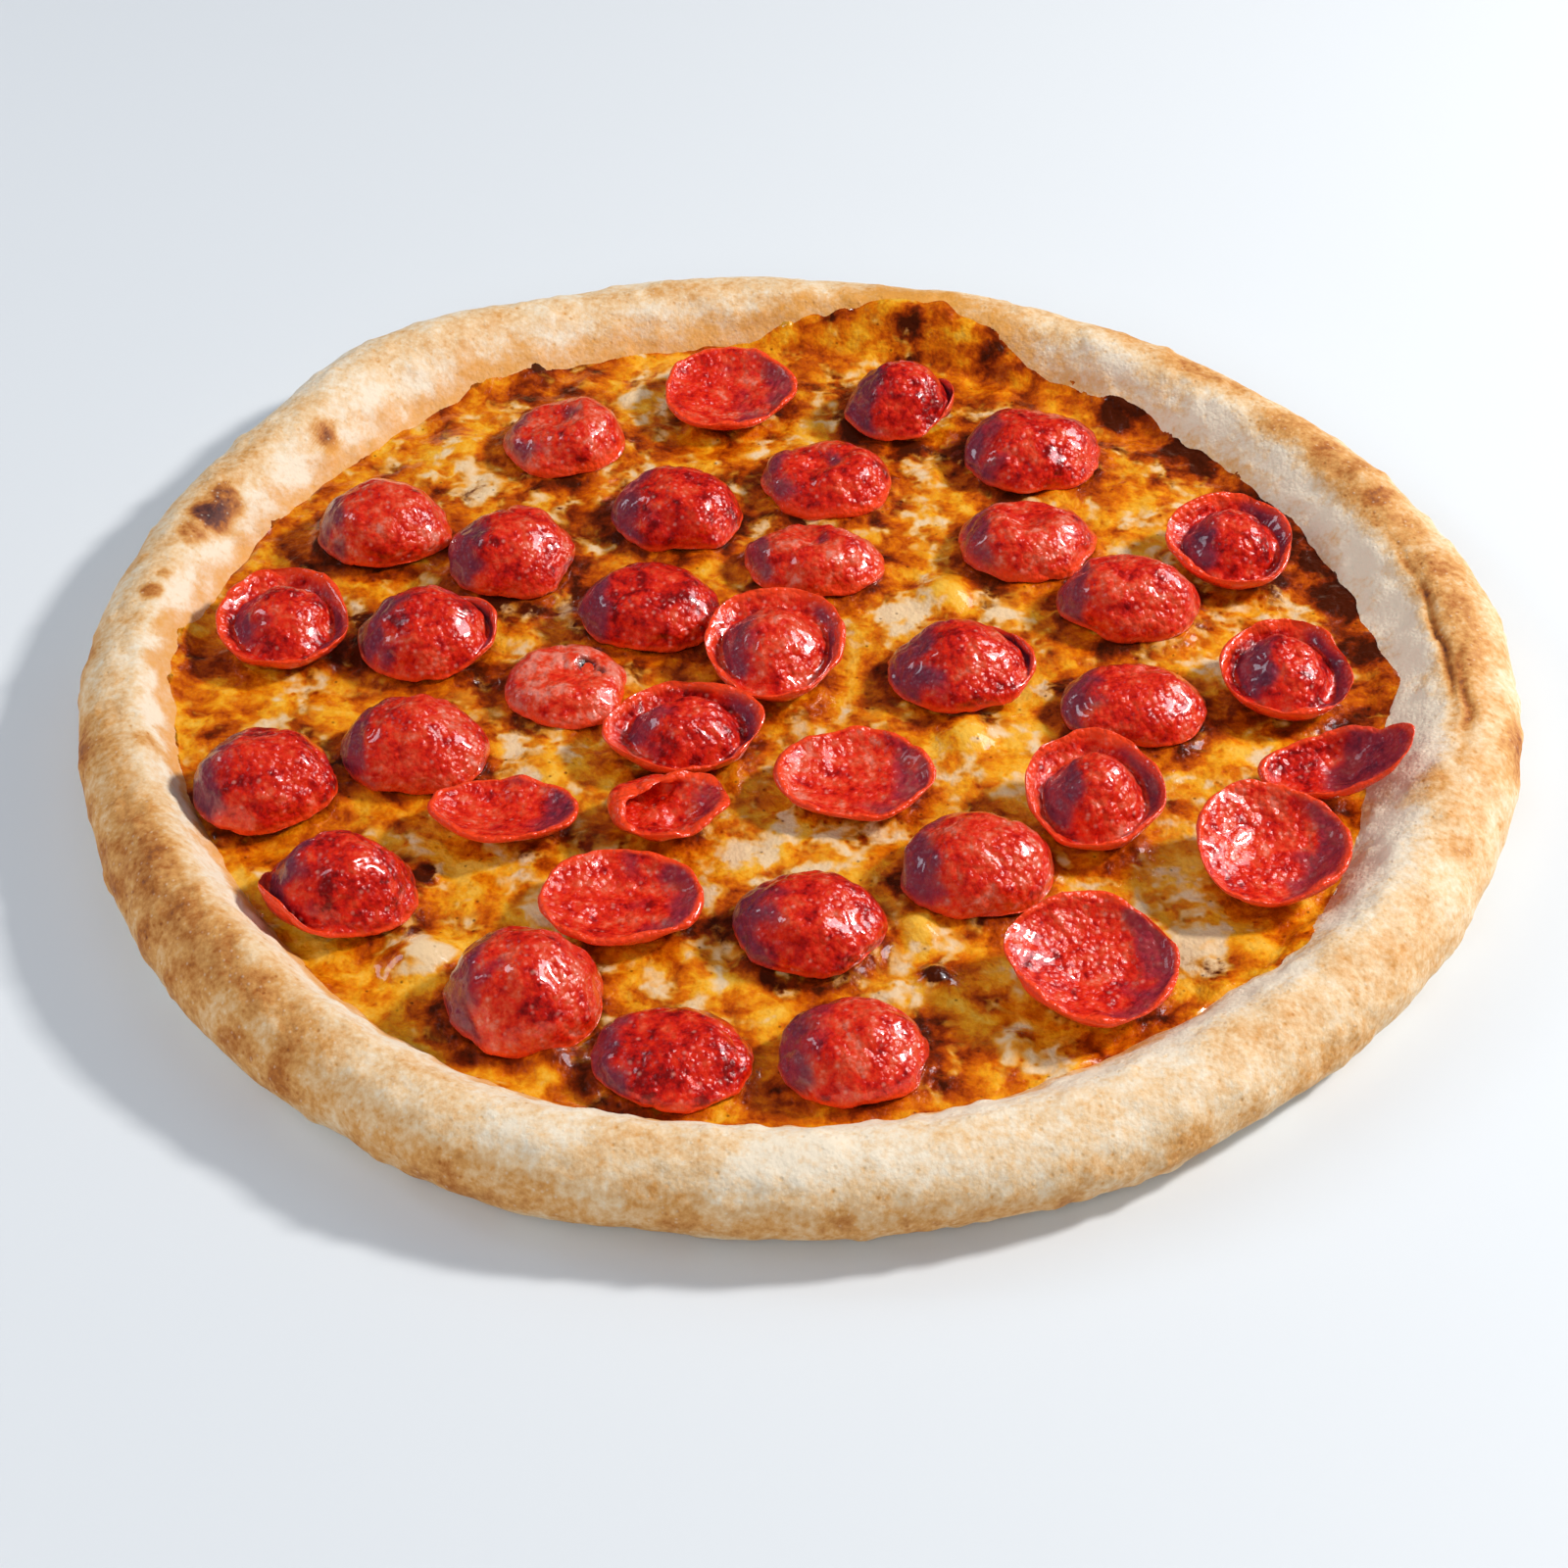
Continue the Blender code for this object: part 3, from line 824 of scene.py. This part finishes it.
    def keep_bake(self, mesh: bpy.types.Mesh) -> None:
        """Keeps how baked the dough is: the crest, the marks, the foot by the cheese and the underside more.

        Args:
            mesh: The crust's mesh.
        """
        points = points_of(mesh)
        radius = np.hypot(points[:, 0], points[:, 1])
        around = np.arctan2(points[:, 1], points[:, 0])
        over = np.degrees(np.arctan2(points[:, 2] - self.widest_height, radius - self.crest_radius))
        ragged = wander(points, 6 * MM, (4, 4, 4))
        bake = 0.01 + 0.08 * np.exp(-(((over - 85) / 30) ** 2))
        bake += self.marked(points, self.marks + self.creases)
        bake += patch_field(points, self.burns, ragged)
        beyond = radius - cheese_reach(around) + 3 * MM * ragged
        narrower = 1.9 - 0.9 * np.sin(around)
        stain = smooth(self.stain_width, 0, beyond * narrower) * smooth(2 * MM, 6 * MM, points[:, 2])
        bake += 0.16 * stain
        keep_attribute(mesh, "oil", stain * (1 - 0.6 * smooth(0.3, 0.9, np.cos(around))))
        under = smooth(2.5 * MM, 0.5 * MM, points[:, 2])
        bake += under * (0.16 + 0.5 * smooth(0.1, 0.5, wander(points, 9 * MM, (2, 2, 8))))
        keep_attribute(mesh, "bake", bake)


@dataclass(frozen=True)
class Bubble:
    """A bubble in the cheese: its middle, radius and height in millimetres."""

    across: float
    back: float
    radius: float
    tall: float


@dataclass
class Cheese:
    """The cheese: a rippled pool with bubbles, whose edge climbs the crust in a thin skin."""

    cells: int = 280
    level: float = 10 * MM
    ripple: float = 0.7 * MM
    ripple_span: float = 30 * MM
    sunk_edge: float = 0.3 * MM
    skin: float = 1.5 * MM
    skin_width: float = 6 * MM
    blend: float = 1.5 * MM
    lump: float = 0.8 * MM
    lump_span: float = 8 * MM
    grain: float = 0.35 * MM
    grain_span: float = 2.6 * MM
    shred: float = 1.8 * MM
    lap: float = 0.8 * MM
    lap_width: float = 2.0 * MM
    bubbles: tuple = (
        Bubble(34, 31, 7, 3.2),
        Bubble(37, -18, 6, 2.8),
        Bubble(-73, -87, 7.5, 3.6),
        Bubble(28, -91, 4, 2.4),
        Bubble(25, -77, 4.5, 2.4),
        Bubble(-46, -115, 6, 2.4),
        Bubble(-80, 84, 8, 1.6),
        Bubble(93, -84, 8, 2.2),
        Bubble(85, -94, 5, 1.8),
        Bubble(56, -117, 6, 2.2),
        Bubble(43, -108, 4, 1.8),
    )
    browned: tuple = (
        Patch(28, -91, 2.8, 0.75),
        Patch(-74, -62, 3.0, 0.55),
        Patch(-40, 51, 1.6, 0.55),
        Patch(28, 131, 4, 0.25),
        Patch(8, 134, 3, 0.25),
        Patch(48, 121, 3, 0.25),
        Patch(38, 128, 9, -0.16),
        Patch(14, 127, 7, -0.12),
        Patch(55, 116, 10, 0.06),
        Patch(78, 100, 6, 0.34),
        Patch(93, 87, 6, 0.34),
        Patch(96, 79, 4, 0.30),
        Patch(109, 64, 8, 0.26),
        Patch(115, 48, 7, 0.32),
        Patch(122, 30, 7, 0.32),
        Patch(125, 12, 6, 0.30),
        Patch(126, -10, 8, 0.16),
        Patch(-60, 110, 12, 0.14),
        Patch(-133, 0, 12, 0.10),
        Patch(-95, 8, 8, 0.16),
        Patch(34, 31, 6.5, -0.34),
        Patch(37, -18, 5.5, -0.30),
        Patch(25, -77, 4.5, -0.34),
        Patch(-46, -115, 6, -0.10),
    )
    creamed: tuple = (
        Patch(4, -52, 11, 0.13),
        Patch(16, -48, 8, 0.12),
        Patch(-56, -25, 8, 0.12),
        Patch(-7, 92, 10, 0.10),
        Patch(-38, 78, 9, 0.10),
        Patch(-77, 70, 10, 0.09),
        Patch(62, -5, 6, 0.13),
        Patch(25, 23, 8, 0.12),
        Patch(-73, -87, 7, 0.16),
        Patch(-120, -52, 9, 0.12),
        Patch(48, -110, 12, 0.11),
        Patch(80, -84, 9, 0.10),
        Patch(-40, -92, 10, 0.08),
        Patch(55, -42, 6, 0.12),
        Patch(-104, -92, 8, 0.08),
        Patch(20, -92, 9, 0.08),
    )

    def build(self, crust: bpy.types.Object, contacts: KDTree) -> bpy.types.Object:
        """Makes the cheese on the crust and round the slices.

        Args:
            crust: What it lies on.
            contacts: The places where slices lie on it.

        Returns:
            The cheese, with a number for how baked it is at each point.
        """
        bm = bmesh.new()
        bmesh.ops.create_grid(bm, x_segments=self.cells, y_segments=self.cells, size=1)
        square = np.array([vertex.co[:2] for vertex in bm.verts])
        x, y = square.T
        disc = np.column_stack((x * np.sqrt(1 - y * y / 2), y * np.sqrt(1 - x * x / 2)))
        edge = cheese_reach(np.arctan2(disc[:, 1], disc[:, 0]))
        plan = disc * edge[:, None]
        tree = tree_of(crust)
        inward = edge - np.hypot(plan[:, 0], plan[:, 1])
        height = self.top(plan, inward, tree, contacts)
        for vertex, (across, back), z in zip(bm.verts, plan, height):
            vertex.co = (across, back, z)
        self.close_underside(bm, tree)
        thing = new_object("baked_cheese", bm)
        thing.data.shade_smooth()
        self.keep_bake(thing.data, contacts)
        return thing

    def top(self, plan: np.ndarray, inward: np.ndarray, tree: BVHTree, contacts: KDTree) -> np.ndarray:
        """How high the top of the cheese is.

        Args:
            plan: One row for each point, across and back, in metres.
            inward: How far each point is from the cheese's edge.
            tree: The crust's search tree.
            contacts: The places where slices lie on the cheese.

        Returns:
            The heights in metres.
        """
        flat = np.column_stack((plan, np.zeros(len(plan))))
        pool = self.level + self.ripple * wander(flat, self.ripple_span, (11, 4, 2))
        relief = self.lump * wander(flat, self.lump_span, (2, 7, 5))
        relief += self.grain * wander(flat, self.grain_span, (8, 2, 6))
        crisp = np.clip(patch_field(flat, self.browned, relief * 0), 0, 0.5)
        relief += self.shred * crisp * (0.5 + wander(flat, self.grain_span, (4, 4, 7)))
        for bubble in self.bubbles:
            away = np.hypot(flat[:, 0] / MM - bubble.across, flat[:, 1] / MM - bubble.back) / bubble.radius
            relief *= 1 - 0.7 * smooth(1.2, 0.8, away)
            pool += bubble.tall * MM * np.clip(1 - (away / 1.3) ** 2, 0, 1) ** 1.8
        near = np.array([contacts.find((x, y, 0))[2] for x, y in plan])
        relief += self.lap * np.exp(-((near / self.lap_width) ** 2))
        pool += relief
        wall = heights_on(tree, plan)
        skin = -self.sunk_edge + (self.skin + self.sunk_edge) * smooth(0, self.skin_width, inward)
        skin += 0.5 * relief * smooth(0, 3 * MM, inward)
        share = np.clip(0.5 + 0.5 * (pool - wall - skin) / self.blend, 0, 1)
        height = wall + skin + (pool - wall - skin) * share + self.blend * share * (1 - share)
        hold = smooth(0, 1.2 * MM, inward)
        return (wall - self.sunk_edge) * (1 - hold) + height * hold

    def close_underside(self, bm: bmesh.types.BMesh, tree: BVHTree) -> None:
        """Closes the cheese below: rings that follow the crust's wall down, and a flat face on the base.

        Args:
            bm: The cheese's top, open below.
            tree: The crust's search tree.
        """
        for _ in range(5):
            edges = [edge for edge in bm.edges if edge.is_boundary]
            made = bmesh.ops.extrude_edge_only(bm, edges=edges)["geom"]
            ring = [item for item in made if isinstance(item, bmesh.types.BMVert)]
            for vertex in ring:
                vertex.co.xy *= 1 - 3.2 * MM / vertex.co.xy.length
                wall = tree.ray_cast(Vector((*vertex.co.xy, 1)), Vector((0, 0, -1)))[0]
                vertex.co.z = max(wall.z, BASE_TOP) + 0.1 * MM
        edges = [edge for edge in bm.edges if edge.is_boundary]
        base = bmesh.ops.contextual_create(bm, geom=edges)["faces"]
        bmesh.ops.triangulate(bm, faces=base)
        bmesh.ops.recalc_face_normals(bm, faces=bm.faces)

    def keep_bake(self, mesh: bpy.types.Mesh, contacts: KDTree) -> None:
        """Keeps how baked the cheese is and where it stays cream, with browning and painted shade round the
        slices and by the rim.

        Args:
            mesh: The cheese's mesh.
            contacts: The places where slices lie on it.
        """
        points = points_of(mesh)
        radius = np.hypot(points[:, 0], points[:, 1])
        ragged = wander(points, 5 * MM, (9, 9, 1))
        near = np.array([contacts.find((x, y, 0))[2] for x, y, _ in points])
        # Round the slices the cheese is darker and less cream: partly browned oil, partly painted shade where the
        # slices stand on it.
        browning_and_shade_beside = np.exp(-((near / (4.5 * MM)) ** 2))
        rim = smooth(114 * MM, 127 * MM, radius)
        # By the rim, darker and less cream towards the right and back-right: partly browned cheese, partly the
        # crust wall's shadow painted on.
        off = np.degrees(np.arctan2(points[:, 1], points[:, 0])) - 28
        foot = 0.01 + 0.15 * np.exp(-((off / 46) ** 2))
        bake = 0.37 + 0.16 * wander(points, 24 * MM, (1, 2, 3)) + 0.05 * ragged
        bake += 0.26 * browning_and_shade_beside + foot * rim + 0.06 * smooth(-60 * MM, 90 * MM, points[:, 1])
        bake += patch_field(points, self.browned, ragged)
        keep_attribute(mesh, "bake", bake)
        lace = 0.03 + 0.06 * wander(points, 18 * MM, (7, 1, 1)) - 0.10 * browning_and_shade_beside - (0.08 + foot) * rim
        lace += patch_field(points, self.creamed, ragged)
        keep_attribute(mesh, "lace", lace)


class Curl(Enum):
    """How a slice has curled in the oven."""

    DOME = "dome"
    CUP = "cup"
    HAT = "hat"
    CRATER = "crater"
    BRIMMED = "brimmed"
    FLAT = "flat"
    FOLDED = "folded"


@dataclass(frozen=True)
class Baked:
    """What a curl does to a slice: how much painted shade it gets at most, how far a side has to face left for
    that, how wet it stays, how much paler it is and how crumpled."""

    painted_shade: float
    facing_left: float
    wet: float
    paler: float
    crumple: float = 1.0


# The first two numbers of each row place the painted shade: how dark at most, and from how far a side faces left.
BAKED = {
    Curl.DOME: Baked(0.82, 0.26, 1.0, 0.0),
    Curl.CUP: Baked(0.62, 0.02, 0.4, 0.02),
    Curl.HAT: Baked(0.82, 0.24, 0.9, 0.0),
    Curl.CRATER: Baked(0.76, 0.28, 0.9, 0.03),
    Curl.BRIMMED: Baked(0.82, 0.24, 0.9, 0.0),
    Curl.FLAT: Baked(0.30, 0.30, 0.4, 0.09),
    Curl.FOLDED: Baked(0.45, 0.20, 0.5, 0.09, 2.4),
}


@dataclass
class PepperoniSlice:
    """A slice of pepperoni, lumpy and wet, with a ruffled rim."""

    node: str
    number: int
    curl: Curl
    levels: int = 3
    grow: float = 1.03
    lump: float = 1.1 * MM
    lump_span: float = 7.5 * MM
    valley: float = 0.3 * MM
    valley_span: float = 9 * MM
    bead: float = 0.35 * MM
    bead_span: float = 2.4 * MM
    pits: tuple = (Patch(-44.6, -1.3, 2.2, 1.0), Patch(-41.5, -3.0, 1.2, 0.7))
    pit_depth: float = 1.2 * MM
    ruffle: float = 0.7 * MM
    ruffle_span: float = 5 * MM
    flare: float = 1.6 * MM
    flare_span: float = 11 * MM
    contact_height: float = 1.4 * MM

    def build(self) -> bpy.types.Object:
        """Makes the slice from its CAD node.

        Returns:
            The slice, with numbers for how near its rim, how deep in tone and how much painted shade each point
            has.
        """
        bm = merged_copy(self.node)
        self.keep_rings(bm)
        to_quads(bm)
        thing = new_object(f"slice_{self.number:02d}_{self.curl.value}", bm)
        subdivide(thing, self.levels)
        self.keep_tone(thing.data)
        self.add_relief(thing.data)
        return thing

    def keep_rings(self, bm: bmesh.types.BMesh) -> None:
        """Keeps each point's share of the way from the middle to the rim, counted along the edges.

        Args:
            bm: The slice's mesh, with one vertex in the middle of each side.
        """
        reach = bm.verts.layers.float.new("reach")
        upper = bm.verts.layers.float.new("upper")
        middles = sorted(bm.verts, key=lambda vertex: -len(vertex.link_edges))[:2]
        middles.sort(key=lambda vertex: vertex.co.z)
        rings = {middle: 0 for middle in middles}
        side = {middle: number for number, middle in enumerate(middles)}
        queue = list(middles)
        while queue:
            vertex = queue.pop(0)
            for edge in vertex.link_edges:
                other = edge.other_vert(vertex)
                if other not in rings:
                    rings[other] = rings[vertex] + 1
                    side[other] = side[vertex]
                    queue.append(other)
        last = max(rings.values())
        for vertex, ring in rings.items():
            vertex[reach] = ring / last
            vertex[upper] = side[vertex]

    def add_relief(self, mesh: bpy.types.Mesh) -> None:
        """Raises lumps and beads on the slice, and ruffles its rim.

        Args:
            mesh: The slice's mesh.
        """
        points, normals = points_of(mesh), normals_of(mesh)
        reach, upper = read_attribute(mesh, "reach"), read_attribute(mesh, "upper")
        middle = (points.min(axis=0) + points.max(axis=0)) / 2
        points[:, :2] = middle[:2] + (points[:, :2] - middle[:2]) * self.grow
        shift = (self.number, 2 * self.number, 5)
        crumple = BAKED[self.curl].crumple
        relief = crumple * self.lump * wander(points, self.lump_span, shift)
        relief += self.bead * wander(points, self.bead_span, shift)
        relief -= self.valley * smooth(0.16, 0, np.abs(wander(points, self.valley_span, shift)))
        relief -= self.pit_depth * patch_field(points, self.pits, 0 * relief)
        relief *= 0.35 + 0.65 * upper
        moved = points + normals * relief[:, None]
        rim = crumple * smooth(0.7, 1.0, reach)
        moved[:, 2] += self.ruffle * wander(points, self.ruffle_span, (9, 1, self.number)) * rim
        outward = points[:, :2] - middle[:2]
        outward /= np.hypot(*outward.T)[:, None] + MM
        flat = points * (1, 1, 0)
        moved[:, :2] += outward * (self.flare * wander(flat, self.flare_span, (3, self.number, 7)) * rim)[:, None]
        set_points(mesh, moved)

    def keep_tone(self, mesh: bpy.types.Mesh) -> None:
        """Keeps how pale the slice is, the painted shade where its smooth form faces left, and the char in its
        pits.

        Args:
            mesh: The slice's mesh, before its lumps.
        """
        points, normals = points_of(mesh), normals_of(mesh)
        baked = BAKED[self.curl]
        own = 0.06 * math.sin(2.4 * self.number) + baked.paler
        tone = 0.54 + own + 0.08 * wander(points, 9 * MM, (1, self.number, 1))
        # Painted shade: how far each point faces left, away from the key lamp, with some noise.
        facing_left = -normals[:, 0] + 0.10 * normals[:, 1] + 0.34 * wander(points, 5 * MM, (self.number, 3, 3))
        lip = smooth(0.85, 1, read_attribute(mesh, "reach"))
        upper = read_attribute(mesh, "upper")
        keep_attribute(mesh, "tone", tone)
        keep_attribute(mesh, "wet", np.full(len(points), baked.wet))
        # Painted shade goes where a side faces left past the curl's threshold, less on the rim's lip and only on
        # the upper side.
        keep_attribute(mesh, "painted_shade", smooth(baked.facing_left - 0.10, baked.facing_left + 0.50, facing_left))
        keep_attribute(mesh, "painted_shade_most", baked.painted_shade * (1 - 0.6 * lip) * upper)
        keep_attribute(mesh, "char", patch_field(points, self.pits, 0 * upper) * upper)

    def contacts(self, thing: bpy.types.Object) -> np.ndarray:
        """The places where the slice lies on what is below it.

        Args:
            thing: The finished slice.

        Returns:
            One row for each place, in metres.
        """
        points = points_of(thing.data)
        return points[points[:, 2] < points[:, 2].min() + self.contact_height][::4]


@dataclass
class Pizza:
    """The whole pizza."""

    effects: Effects

    def build(self) -> None:
        """Builds the pizza from the base up and dresses it."""
        crust = Crust().build()
        self.dress(crust, CrustFinish().material(self.effects), "dough")
        pepperoni = PepperoniFinish().material(self.effects)
        touching = []
        for node in sorted(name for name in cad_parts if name.startswith("pepperoni")):
            _, form, number = node.split("_")
            part = PepperoniSlice(node, int(number), Curl(form))
            thing = part.build()
            self.dress(thing, pepperoni, node)
            touching.append(part.contacts(thing))
        places = np.concatenate(touching)
        contacts = KDTree(len(places))
        for index, (x, y, _) in enumerate(places):
            contacts.insert((x, y, 0), index)
        contacts.balance()
        cheese = Cheese().build(crust, contacts)
        self.dress(cheese, CheeseFinish().material(self.effects), "cheese")

    def dress(self, thing: bpy.types.Object, material: bpy.types.Material, node: str) -> None:
        """Gives a piece its finish and puts it in a CAD node's place.

        Args:
            thing: The piece.
            material: Its finish.
            node: The CAD node that it stands for.
        """
        thing.data.materials.append(material)
        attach(thing, "root")
        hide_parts(node)
        log.info("%s: %d faces", thing.name, len(thing.data.polygons))


@dataclass(frozen=True)
class Lamp:
    """A soft lamp: where it is seen from the pizza, how far, how large, how strong, its colour,
    whether wet surfaces mirror it and whether it lights dry ones."""

    name: str
    azimuth: float
    elevation: float
    distance: float
    size: float
    power: float
    colour: Colour
    mirrored: bool
    lights: bool = True


@dataclass
class Studio:
    """The camera, the lamps and the pale floor."""

    lens: float = 75.16
    sensor: float = 36.0
    target: tuple = (-1.76 * MM, -22.19 * MM, 0.0)
    distance: float = 0.7
    elevation: float = 41.45
    roll: float = 0.513
    floor_size: float = 2.5
    world: Colour = (0.80, 0.88, 1.0)
    world_strength: float = 0.25
    mirrored_strength: float = 0.02
    lamps: tuple = (
        Lamp("key", 14, 37, 1.3, 0.14, 16.5, (1.0, 0.96, 0.91), True),
        Lamp("window", 24, 40, 1.3, 0.5, 8.0, (0.86, 0.92, 1.0), True, False),
        Lamp("front", 255, 38, 1.3, 0.6, 4.0, (1.0, 0.98, 0.95), False),
        Lamp("left", 190, 32, 1.3, 0.6, 2.8, (1.0, 0.97, 0.94), False),
        Lamp("back", 95, 50, 1.3, 0.6, 1.2, (0.95, 0.97, 1.0), False),
        Lamp("sheen", 160, 35, 1.3, 0.3, 1.8, (0.78, 0.87, 1.0), True),
    )

    def build(self) -> None:
        """Sets up the view, the light and the floor."""
        bpy.context.scene.view_settings.view_transform = "Standard"
        self.add_camera()
        for lamp in self.lamps:
            self.add_lamp(lamp)
        self.add_world()
        self.add_floor()

    def add_world(self) -> None:
        """Adds the soft light from all round, which wet surfaces hardly mirror."""
        world = bpy.data.worlds.new("studio")
        world.use_nodes = True
        graph = Graph(world.node_tree)
        sky = world.node_tree.nodes["Background"]
        sky.inputs["Color"].default_value = (*self.world, 1)
        mirrored = graph.add("ShaderNodeLightPath").outputs["Is Glossy Ray"]
        fall = graph.math("MULTIPLY", mirrored, self.world_strength - self.mirrored_strength)
        graph.feed(sky.inputs["Strength"], graph.math("SUBTRACT", self.world_strength, fall))
        bpy.context.scene.world = world

    def add_camera(self) -> None:
        """Puts the camera at the photograph's angle."""
        rise = math.radians(self.elevation)
        back = Vector((0, -math.cos(rise), math.sin(rise)))
        data = bpy.data.cameras.new("camera")
        data.lens = self.lens
        data.sensor_width = self.sensor
        camera = bpy.data.objects.new("camera", data)
        camera.location = Vector(self.target) + self.distance * back
        camera.rotation_mode = "QUATERNION"
        roll = Quaternion((0, 0, 1), math.radians(self.roll))
        camera.rotation_quaternion = (-back).to_track_quat("-Z", "Y") @ roll
        bpy.context.scene.collection.objects.link(camera)
        bpy.context.scene.camera = camera

    def add_lamp(self, lamp: Lamp) -> None:
        """Adds a lamp that shines on the pizza.

        Args:
            lamp: Where it is and how it shines.
        """
        turn, rise = math.radians(lamp.azimuth), math.radians(lamp.elevation)
        way = Vector((math.cos(rise) * math.cos(turn), math.cos(rise) * math.sin(turn), math.sin(rise)))
        data = bpy.data.lights.new(lamp.name, "AREA")
        data.size = lamp.size
        data.energy = lamp.power
        data.color = lamp.colour
        thing = bpy.data.objects.new(lamp.name, data)
        thing.location = way * lamp.distance
        thing.rotation_mode = "QUATERNION"
        thing.rotation_quaternion = way.to_track_quat("Z", "Y")
        thing.visible_glossy = lamp.mirrored
        thing.visible_diffuse = lamp.lights
        bpy.context.scene.collection.objects.link(thing)

    def add_floor(self) -> None:
        """Adds the floor just under the pizza."""
        bm = bmesh.new()
        bmesh.ops.create_grid(bm, x_segments=1, y_segments=1, size=self.floor_size)
        bmesh.ops.translate(bm, verts=bm.verts, vec=(0, 0, -0.2 * MM))
        floor = new_object("floor", bm)
        floor.data.materials.append(FloorFinish().material())


def main() -> None:
    """Builds the studio and the pizza."""
    Studio().build()
    Pizza(Effects()).build()
    bpy.context.view_layer.update()


if __name__ == "__main__":
    main()
